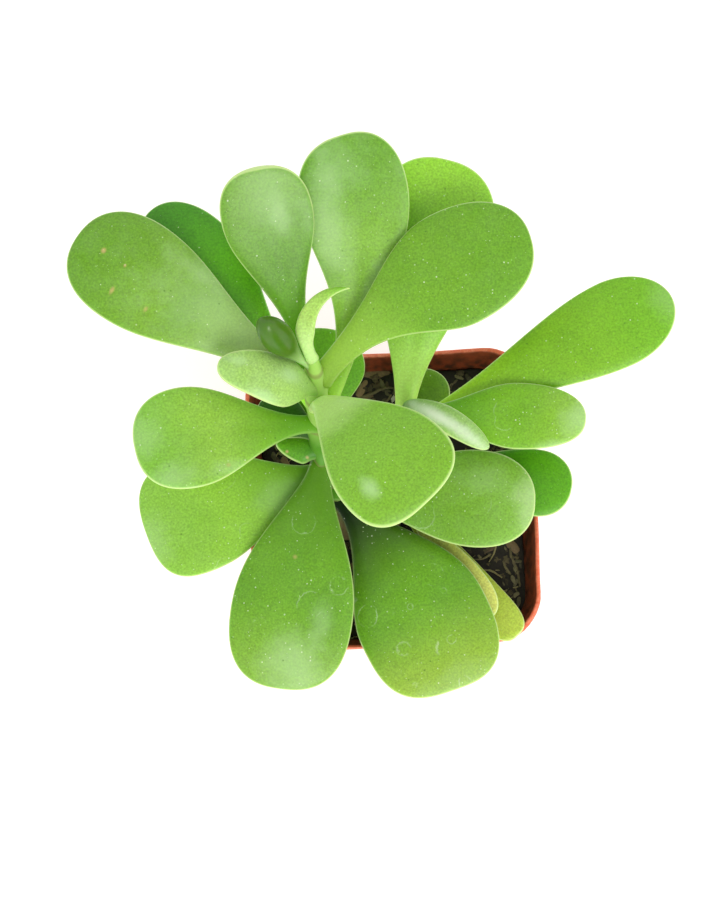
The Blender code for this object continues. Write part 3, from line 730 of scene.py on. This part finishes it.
def mould_pot(material):
    """A square of plastic with round corners, drawn up into the outer wall, over the rim and down inside."""
    pot = primitive("pot_moulded", bpy.ops.mesh.primitive_plane_add, size=2 * MM)
    bpy.ops.object.mode_set(mode="EDIT")
    # the base stands in from the wall by its rounded edge
    half_x, half_y = (half - 0.8 for half in tapered(0))
    bpy.ops.transform.resize(value=(half_x, half_y, 1), center_override=(0, 0, 0))
    bpy.ops.mesh.bevel(offset=POT_CORNER * 0.66 * MM, offset_type="OFFSET", segments=10, affect="VERTICES")
    bpy.ops.object.mode_set(mode="OBJECT")
    # the four straight sides are cut up, so that they can bow
    for edge in pot.data.edges:
        a, b = (pot.data.vertices[i].co for i in edge.vertices)
        edge.select = (a - b).length > 10 * MM
    for face in pot.data.polygons:
        face.select = False
    bpy.ops.object.mode_set(mode="EDIT")
    bpy.ops.mesh.select_mode(type="EDGE")
    bpy.ops.mesh.subdivide(number_cuts=SIDE_CUTS)
    bpy.ops.mesh.select_mode(type="FACE")
    bpy.ops.mesh.select_all(action="SELECT")
    band = POT_HEIGHT - RIM_BAND_HEIGHT
    upper = POT_HEIGHT - 3.5
    out = RIM_BAND_STEP
    # height and how far out from the tapered wall each ring stands
    rings = [(0.3, -0.3), (0.8, 0.0), (14, 0), (28, 0), (42, 0), (band - 0.5, 0), (band, 0.1),
             (band + 0.5, out - 0.1), (band + 1.0, out), (upper, out), (POT_HEIGHT - 0.5, out),
             (POT_HEIGHT - 0.15, out - 0.15), (POT_HEIGHT, out - 0.5), (POT_HEIGHT - 0.15, out - 0.85),
             (POT_HEIGHT - 0.5, out - WALL), (upper, out - WALL - 0.1), (band, -WALL), (42, -WALL),
             (28, -WALL), (14, -WALL), (FLOOR + 1.2, -WALL), (FLOOR + 0.3, -WALL - 0.3),
             (FLOOR, -WALL - 1.2)]
    z = 0.0
    for next_z, outwards in rings:
        next_x, next_y = (half + outwards for half in tapered(next_z))
        bpy.ops.mesh.extrude_region_move(TRANSFORM_OT_translate={"value": (0, 0, (next_z - z) * MM)})
        bpy.ops.transform.resize(value=(next_x / half_x, next_y / half_y, 1),
                                 center_override=(0, 0, next_z * MM))
        z, half_x, half_y = next_z, next_x, next_y
    close_edit()

    for sx, sy in ((-1, -1), (-1, 1), (1, -1), (1, 1)):
        place = (sx * DRAIN_SPACING[0] / 2 * MM, sy * DRAIN_SPACING[1] / 2 * MM, 0)
        drill = primitive("drill", bpy.ops.mesh.primitive_cylinder_add, vertices=32,
                          radius=DRAIN_HOLE / 2 * MM, depth=4 * FLOOR * MM, location=place)
        hole = pot.modifiers.new("drain hole", "BOOLEAN")
        hole.operation = "DIFFERENCE"
        hole.object = drill
        bpy.context.view_layer.objects.active = pot
        bpy.ops.object.modifier_apply(modifier=hole.name)
        bpy.data.objects.remove(drill)

    # soft thin plastic: the sides bow in, and the rim wanders a little
    points = points_of(pot)
    x, y, z = points.T
    t = z / POT_HEIGHT
    half = read_off(z, [0, POT_HEIGHT], np.array([tapered(0), tapered(POT_HEIGHT)]))
    flat_x = np.clip(1 - (x / (half[:, 0] - POT_CORNER * 0.7)) ** 2, 0, 1)
    flat_y = np.clip(1 - (y / (half[:, 1] - POT_CORNER * 0.7)) ** 2, 0, 1)
    on_y_side = np.abs(y) > half[:, 1] - 3
    on_x_side = np.abs(x) > half[:, 0] - 3
    inwards = SIDE_BOW * t + SIDE_WANDER * noise_over(x, y, 16, 5.2) * t ** 3
    y = y - np.sign(y) * inwards * flat_x * on_y_side
    x = x - np.sign(x) * inwards * flat_y * on_x_side
    # one corner was pressed in a little, along its diagonal
    from_corner = (np.arctan2(y, x) - math.radians(PRESSED_AT)) / math.radians(PRESSED_SPREAD)
    press = PRESSED_IN * t ** 2 * np.exp(-from_corner ** 2)
    x = x - press * 0.7
    y = y + press * 0.7
    z = z + RIM_DIP * np.minimum(noise_over(x, y, 9, 1.2), 0) * (z > 60)
    set_points(pot, np.stack([x, y, z], 1))

    # the inside attribute marks the inner faces, which the material paints darker as shade
    normals = np.empty(len(pot.data.vertices) * 3)
    pot.data.vertices.foreach_get("normal", normals)
    normal = normals.reshape(-1, 3)
    faces_in = (normal[:, 0] * x + normal[:, 1] * y < -1) | (normal[:, 2] > 0.7)
    store_values(pot, "inside", (faces_in & (z > FLOOR - 0.2) & (z < POT_HEIGHT - 0.4)).astype(float))
    finish_piece(pot, material, "pot", "pot", sharp=40)


# the potting mix

def soil_lump(x, y):
    """Height of the loose surface above its mean, in millimetres."""
    coarse = noise.noise(Vector((x * 0.09, y * 0.09, 3.7)))
    fine = noise.noise(Vector((x * 0.31, y * 0.31, 8.1)))
    return SOIL_LUMPS * (1.3 * coarse + 0.7 * fine)


def crumb_relief(x, y):
    """Millimetres of loose crumb on top of the lumps."""
    spot = Vector((x, y, 0))
    return 0.55 * noise.noise(spot / 2.6) + 0.4 * noise.noise(spot / 1.2 + Vector((7, 3, 1)))


def outline_reach(turn, half_x, half_y, corner):
    """Distance from the middle to a rounded square's outline in a direction."""
    c, s = abs(math.cos(turn)), abs(math.sin(turn))
    reach = min(half_x / c if c > 1e-9 else 1e9, half_y / s if s > 1e-9 else 1e9)
    cx, cy = half_x - corner, half_y - corner
    if reach * c > cx and reach * s > cy:
        along = c * cx + s * cy
        reach = along + math.sqrt(max(0.0, along * along - (cx * cx + cy * cy - corner * corner)))
    return reach


def fill_soil(material):
    """A fine grid drawn to the pot's inner outline, raised into lumps, on a plain tapered block."""
    soil = primitive("soil_surface", bpy.ops.mesh.primitive_grid_add, x_subdivisions=SOIL_CELLS,
                     y_subdivisions=SOIL_CELLS, size=2 * MM)
    bpy.ops.object.mode_set(mode="EDIT")
    bpy.ops.mesh.extrude_region_move(TRANSFORM_OT_translate={"value": (0, 0, -MM)})
    bpy.ops.mesh.dissolve_faces()
    close_edit()
    points = points_of(soil)
    placed = []
    for x, y, z in points:
        share = max(abs(x), abs(y))
        on_top = z > -0.5
        height = SOIL_TOP if on_top else FLOOR + 0.3
        inset = WALL + (SOIL_GAP if on_top else 1.7)
        half_x, half_y = (half - inset for half in tapered(height))
        turn = math.atan2(y, x)
        reach = share * outline_reach(turn, half_x, half_y, POT_CORNER * 0.8)
        px, py = reach * math.cos(turn), reach * math.sin(turn)
        if on_top:
            # the edge follows the bow of the wall, and lies a little lower
            bow = SIDE_BOW * share ** 6
            px -= math.copysign(bow, px) * max(0, 1 - (py / BOW_REACH) ** 2) * (abs(x) >= abs(y))
            py -= math.copysign(bow, py) * max(0, 1 - (px / BOW_REACH) ** 2) * (abs(y) > abs(x))
            height += soil_lump(px, py) + crumb_relief(px, py) * min(1, (1 - share) * 12)
            height -= 0.8 * share ** 12
        placed.append((px, py, height))
    set_points(soil, np.array(placed))
    store_values(soil, "shade", np.full(len(placed), 0.15))
    finish_piece(soil, material, "soil", "soil")


def soil_height(x, y):
    return SOIL_TOP + soil_lump(x, y) + crumb_relief(x, y)


def scatter(name, shapes, count, sizes, seed, material, sink=0.25, keep=()):
    """Copies the shapes all over the soil, each turned, sized and shaded in its own way, as one piece. keep
    holds the bits with a place of their own, and sink is how deep a bit lies, as a share of its size."""
    rng = random.Random(seed)
    copies = []
    spots = list(keep)
    stem_feet = [Vector(line[1][:2]) for line in STEM_LINES.values()]
    half_x, half_y = (half - WALL for half in tapered(SOIL_TOP))
    while len(spots) < count:
        x, y = (rng.uniform(-reach, reach) for reach in BITS_REACH)
        size, heading = rng.uniform(*sizes), rng.uniform(0, 360)
        # both ends stay clear of the wall, and the middle of the stems
        middle = Vector((x, y))
        reach = Matrix.Rotation(math.radians(heading), 2) @ Vector((size / 2, 0))
        if any(end.length > outline_reach(math.atan2(end.y, end.x), half_x, half_y, POT_CORNER) - WALL_GAP
               for end in (middle + reach, middle - reach, middle)):
            continue
        if min((middle - foot).length for foot in stem_feet) < STEM_GAP:
            continue
        spots.append((x, y, size, heading))
    for x, y, size, heading in spots:
        source = rng.choice(shapes)
        copy = source.copy()
        copy.data = source.data.copy()
        bpy.context.scene.collection.objects.link(copy)
        tip = Matrix.Rotation(math.radians(rng.uniform(-BITS_LEAN, BITS_LEAN)), 4, "X")
        spin = Matrix.Rotation(math.radians(heading), 4, "Z")
        place = Matrix.Translation(Vector((x, y, soil_height(x, y) - sink * size)) * MM)
        copy.data.transform(place @ spin @ tip @ Matrix.Scale(size, 4))
        store_values(copy, "shade", [rng.random()] * len(copy.data.vertices))
        copies.append(copy)
    bpy.ops.object.select_all(action="DESELECT")
    for copy in copies:
        copy.select_set(True)
    bpy.context.view_layer.objects.active = copies[0]
    bpy.ops.object.join()
    joined = bpy.context.active_object
    joined.name = joined.data.name = name
    for source in shapes:
        bpy.data.objects.remove(source)
    finish_piece(joined, material, "soil", sharp=50)


def clod(k):
    """A small clod: a rough ball pressed out of shape."""
    ball = primitive(f"clod_{k}", bpy.ops.mesh.primitive_ico_sphere_add, subdivisions=2, radius=0.5 * MM)
    points = points_of(ball)
    rough = np.array([noise.noise(Vector(p) * 3.0 + Vector((k * 5, 0, 0))) for p in points])
    points *= (1 + 0.7 * rough)[:, None]
    points *= np.array([1.0, 0.75 + 0.1 * k, 0.6])
    set_points(ball, points)
    return ball


def twig(k):
    """A thin, crooked bit of root or straw, 1 mm long before it is sized."""
    sections = [(x / 8 - 0.5, 0.035 * (1 - 0.4 * abs(x / 4 - 1)), 0.03) for x in range(9)]
    straw = extruded(f"twig_{k}", 6, sections)
    points = points_of(straw)
    bend = (0.04, -0.09)[k]
    points[:, 1] += bend * np.cos(points[:, 0] * math.pi) + 0.03 * np.sin(points[:, 0] * 9 + k)
    points[:, 2] += 0.03 * np.sin(points[:, 0] * 7 + 2 * k)
    set_points(straw, points)
    return straw


def splinter(k):
    """A flat splinter of bark with ragged ends, 1 mm long before it is sized."""
    sections = [(-0.5, 0.08, 0.03), (-0.42, 0.16, 0.05), (-0.2, 0.2 + 0.04 * k, 0.06),
                (0.05, 0.19, 0.055), (0.3, 0.15, 0.05), (0.42, 0.11 - 0.04 * k, 0.04), (0.5, 0.04, 0.02)]
    bark = extruded(f"bark_{k}", 8, sections)
    points = points_of(bark)
    rough = np.array([noise.noise(Vector(p) * 6 + Vector((0, k * 4, 0))) for p in points])
    points[:, 1] *= 1 + 0.35 * rough
    points[:, 2] += 0.12 * (points[:, 0] ** 2) * (1 if k else -1) + 0.02 * rough
    set_points(bark, points)
    return bark


# the studio, in metres and watts

PAPER_SIZE = 6
PAPER_GLOW = 0.18
SKY_STRENGTH = 1.05
WINDOW_PLACE = (0.20, -0.62, 0.70)
WINDOW_AIM = (0, 0.01, 0.08)
WINDOW_SIZE = 0.5
WINDOW_POWER = 5.0


def set_camera():
    """The photograph looks down on the plant from almost straight above, leaning a little to the back."""
    tilt, turn = math.radians(CAMERA_TILT), math.radians(CAMERA_TURN)
    spin = Matrix.Rotation(-turn, 3, "Z")
    forward = spin @ Vector((0, math.sin(tilt), -math.cos(tilt)))
    right = spin @ Vector((1, 0, 0))
    up = right.cross(forward)
    camera = bpy.data.objects.new("camera", bpy.data.cameras.new("camera"))
    camera.data.lens = CAMERA_LENS
    bpy.context.scene.collection.objects.link(camera)
    axes = Matrix((right, up, -forward)).transposed().to_4x4()
    camera.matrix_world = Matrix.Translation(Vector(CAMERA_PLACE) * MM) @ axes
    bpy.context.scene.camera = camera


def add_window():
    """One large soft light on the camera's side of the plant."""
    light = bpy.data.lights.new("window", "AREA")
    light.size = WINDOW_SIZE
    light.energy = WINDOW_POWER
    light.color = linear("FFFCF6")[:3]
    window = bpy.data.objects.new("window", light)
    bpy.context.scene.collection.objects.link(window)
    window.location = WINDOW_PLACE
    window.rotation_mode = "QUATERNION"
    window.rotation_quaternion = (Vector(WINDOW_AIM) - Vector(WINDOW_PLACE)).to_track_quat("-Z", "Y")


def set_studio():
    """White paper under the pot, a white sky and the window."""
    floor = primitive("floor", bpy.ops.mesh.primitive_plane_add, size=PAPER_SIZE)
    material, _, surface, _ = new_material("white paper")
    plug(surface, {"Base Color": linear("FAF9F6"), "Roughness": 0.9, "Emission Color": linear("FFFFFF"),
                   "Emission Strength": PAPER_GLOW})
    floor.data.materials.append(material)
    world = bpy.data.worlds.new("studio")
    bpy.context.scene.world = world
    world.use_nodes = True
    sky = world.node_tree.nodes["Background"]
    plug(sky, {"Color": linear("FFFFFF"), "Strength": SKY_STRENGTH})
    add_window()
    bpy.context.scene.view_settings.view_transform = "Standard"


def main():
    set_camera()
    for seed, leaf in enumerate(LEAVES):
        grow_leaf(leaf, seed)
    skin = stem_skin()
    for name in STEM_LINES:
        grow_stem(name, skin)
    mould_pot(polypropylene())
    fill_soil(loose_matter("dark peat mix", "0B0A06", "38321F", 1.5, 0.95))
    scatter("soil_crumbs", [clod(k) for k in range(3)], 700, (0.9, 2.4), 3,
            loose_matter("peat crumbs", "0C0A05", "5A5232", 0.8, 0.95))
    scatter("soil_twigs", [twig(0), twig(1)], 90, (4, 12), 5,
            loose_matter("straw and root bits", "3A341E", "8C8454", 0.7, 0.8), sink=0.0, keep=STRAWS)
    scatter("soil_bark", [splinter(0), splinter(1)], 70, (2.0, 6), 7,
            loose_matter("bark splinters", "2E2414", "84704A", 0.6, 0.85), sink=0.02, keep=SPLINTERS)
    scatter("soil_fines", [splinter(0), splinter(1)], 560, (1.0, 3.0), 9,
            loose_matter("olive chaff", "1A180C", "75704A", 0.6, 0.85), sink=0.02)
    scatter("soil_perlite", [clod(k) for k in range(3)], 26, (1.0, 2.4), 11,
            loose_matter("perlite", "8E8A76", "E4E0D0", 0.5, 0.9), keep=PERLITE)
    set_studio()


main()
